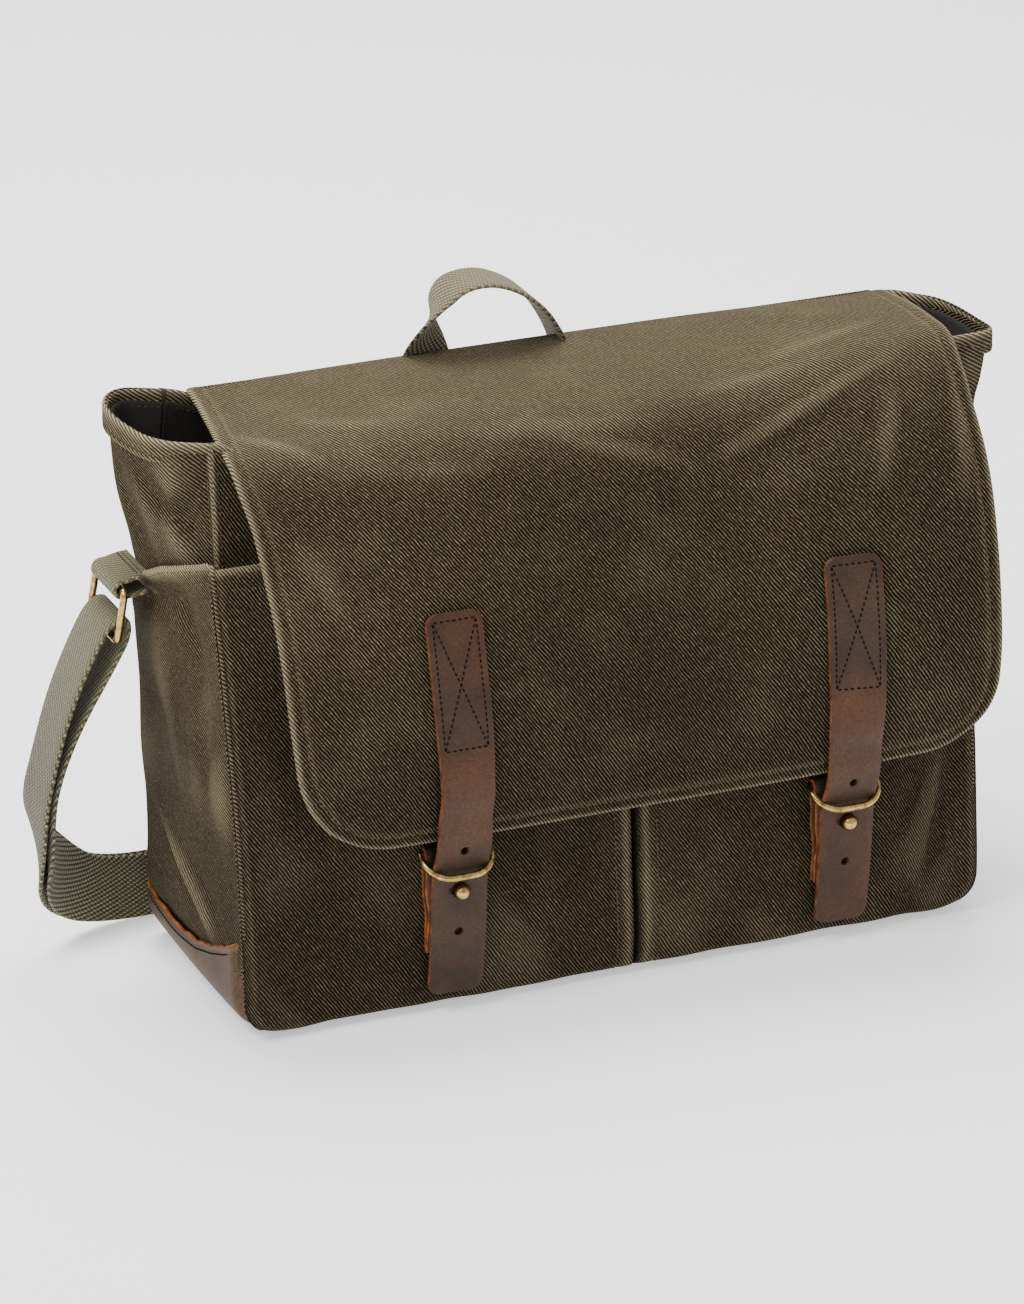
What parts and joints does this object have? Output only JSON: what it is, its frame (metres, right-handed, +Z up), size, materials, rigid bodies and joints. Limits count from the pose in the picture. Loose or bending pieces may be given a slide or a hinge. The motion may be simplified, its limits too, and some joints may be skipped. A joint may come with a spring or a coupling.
{
  "type": "messenger bag",
  "caption": "Canvas messenger bag with a full-width flap, strapped-down leather closures, open front pockets, a leather base, a webbing grab handle and a long shoulder strap.",
  "frame": {"origin": "on the underside of the leather base, at the middle of the bag's width", "axes": "+Z up, the front with its flap faces -Y, +X to the right seen from the front"},
  "size_m": [0.5409, 0.2557, 0.355],
  "materials": {
    "waxed_canvas": "dark olive-brown waxed twill with paler worn edges",
    "cotton_lining": "dark plain weave",
    "base_board": "raw board",
    "base_leather": "oiled, with a raw orange-tan edge",
    "strap_leather": "oiled, with raw orange-tan edges",
    "antique_brass": "aged, satin",
    "webbing": "heavy sage-green twill webbing"
  },
  "bodies": {
    "bag": {"back_panel": "waxed_canvas", "front_panel": "waxed_canvas", "left_gusset": "waxed_canvas", "right_gusset": "waxed_canvas", "mouth_hem": "waxed_canvas", "base_board": "base_board", "lining": "cotton_lining", "left_pocket": "waxed_canvas", "right_pocket": "waxed_canvas", "left_side_panel": "waxed_canvas", "right_side_panel": "waxed_canvas", "base_leather": "base_leather", "flap_seam": "waxed_canvas", "left_keeper": "strap_leather", "right_keeper": "strap_leather", "left_stud": "antique_brass", "right_stud": "antique_brass", "left_side_tab": "webbing", "right_side_tab": "webbing", "handle_anchors": "webbing", "shoulder_strap_left": "webbing", "shoulder_strap_right": "webbing"},
    "flap_upper": {"flap_top": "waxed_canvas", "flap_top_lining": "cotton_lining"},
    "flap_lower": {"flap_front": "waxed_canvas", "flap_front_lining": "cotton_lining", "left_strap": "strap_leather", "right_strap": "strap_leather"},
    "left_tail": {"left_strap_tail": "strap_leather"},
    "right_tail": {"right_strap_tail": "strap_leather"},
    "left_front_ring": {"left_closure_ring": "antique_brass"},
    "right_front_ring": {"right_closure_ring": "antique_brass"},
    "left_end_ring": {"left_side_ring": "antique_brass", "left_strap_loop": "webbing"},
    "right_end_ring": {"right_side_ring": "antique_brass", "right_strap_loop": "webbing"},
    "handle": {"grab_handle": "webbing"},
    "slider": {"strap_slider": "antique_brass"}
  },
  "joints": [
    {"name": "flap_hinge", "type": "hinge", "parent": "bag", "child": "flap_upper", "pos_m": [0, 0.0775, 0.3105], "axis": [-1, 0, 0], "range_deg": [0, 180], "deforming": ["left_strap_tail", "right_strap_tail"]},
    {"name": "flap_crease", "type": "hinge", "parent": "flap_upper", "child": "flap_lower", "pos_m": [0, -0.02041, 0.29318], "axis": [-1, 0, 0], "range_deg": [0, 135]},
    {"name": "left_tail_lift", "type": "hinge", "parent": "flap_lower", "child": "left_tail", "pos_m": [-0.1, -0.0685, 0.092], "axis": [-1, 0, 0], "range_deg": [0, 60]},
    {"name": "right_tail_lift", "type": "hinge", "parent": "flap_lower", "child": "right_tail", "pos_m": [0.124, -0.0685, 0.092], "axis": [-1, 0, 0], "range_deg": [0, 60]},
    {"name": "left_front_ring_swing", "type": "hinge", "parent": "bag", "child": "left_front_ring", "pos_m": [-0.1, -0.0685, 0.092], "axis": [-1, 0, 0], "range_deg": [0, 60]},
    {"name": "right_front_ring_swing", "type": "hinge", "parent": "bag", "child": "right_front_ring", "pos_m": [0.124, -0.0685, 0.092], "axis": [-1, 0, 0], "range_deg": [0, 60]},
    {"name": "left_end_ring_swing", "type": "hinge", "parent": "bag", "child": "left_end_ring", "pos_m": [-0.244, 0.052, 0.222], "axis": [0, 1, 0], "range_deg": [0, 40], "deforming": ["shoulder_strap_left"]},
    {"name": "right_end_ring_swing", "type": "hinge", "parent": "bag", "child": "right_end_ring", "pos_m": [0.244, 0.052, 0.222], "axis": [0, -1, 0], "range_deg": [0, 40], "deforming": ["shoulder_strap_right"]},
    {"name": "handle_fold", "type": "hinge", "parent": "bag", "child": "handle", "pos_m": [-0.012, 0.0804, 0.3], "axis": [-1, 0, 0], "range_deg": [0, 108]},
    {"name": "slider_travel", "type": "slide", "parent": "bag", "child": "slider", "axis": [0.9703, 0.2419, 0], "range_m": [-0.02, 0.02]}
  ],
  "couplings": [
    {"joint": "flap_crease", "follows": "flap_hinge", "ratio": 0.75},
    {"joint": "handle_fold", "follows": "flap_hinge", "ratio": 0.6},
    {"joint": "left_front_ring_swing", "follows": "left_tail_lift", "ratio": 1},
    {"joint": "right_front_ring_swing", "follows": "right_tail_lift", "ratio": 1}
  ]
}
